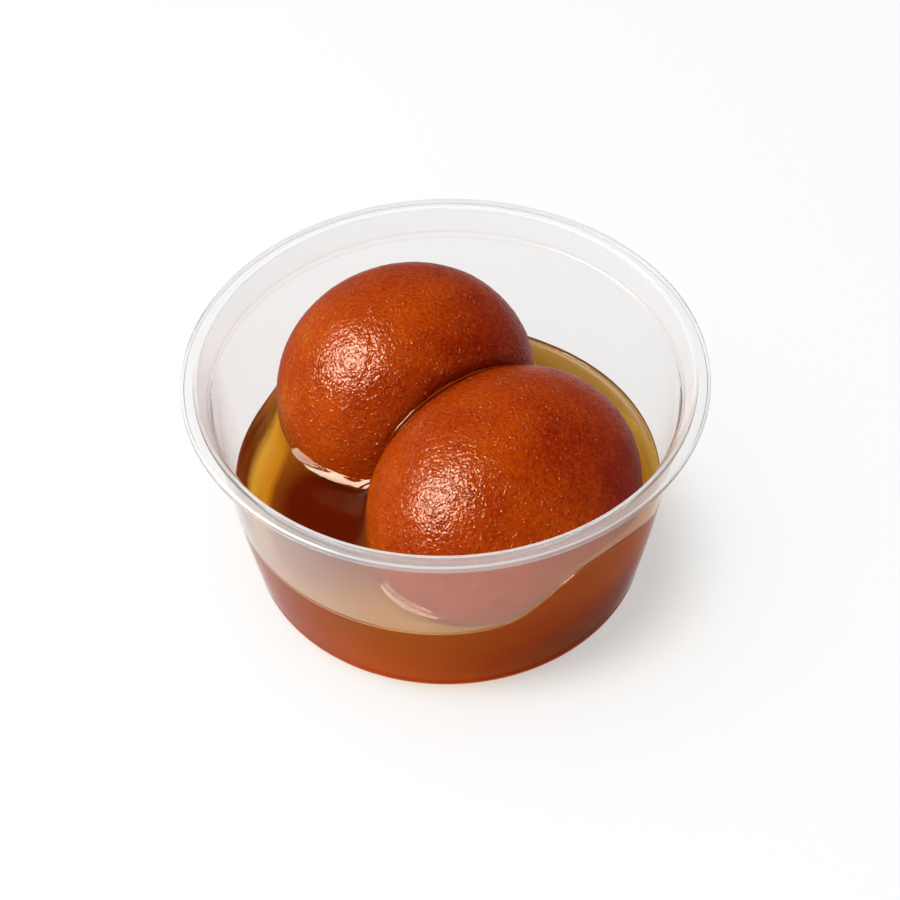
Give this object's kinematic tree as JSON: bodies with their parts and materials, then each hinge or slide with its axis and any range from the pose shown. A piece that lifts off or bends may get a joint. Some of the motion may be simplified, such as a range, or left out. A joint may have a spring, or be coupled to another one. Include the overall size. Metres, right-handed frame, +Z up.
{
  "type": "gulab jamun in a clear tub",
  "caption": "Gulab jamun: glossy brown syrup-soaked dough balls standing in amber syrup in a clear round plastic tub with a flat rim.",
  "frame": {"origin": "middle of the tub's underside, on the surface it stands on", "axes": "+Z up along the tub's axis; -Y towards the viewer; +X to the viewer's right; the rear ball lies towards -X +Y and the front ball towards +X -Y"},
  "size_m": [0.095, 0.095, 0.0458],
  "materials": {
    "tub_plastic": "clear, slightly milky thin plastic, smooth and glossy",
    "sugar_syrup": "clear golden-brown sugar syrup, liquid gloss",
    "soaked_dough": "fried reddish-brown dough skin, finely wrinkled, glazed with syrup"
  },
  "bodies": {
    "root": {"tub": "tub_plastic", "syrup": "sugar_syrup", "jamun_rear": "soaked_dough", "jamun_front": "soaked_dough"}
  },
  "joints": []
}
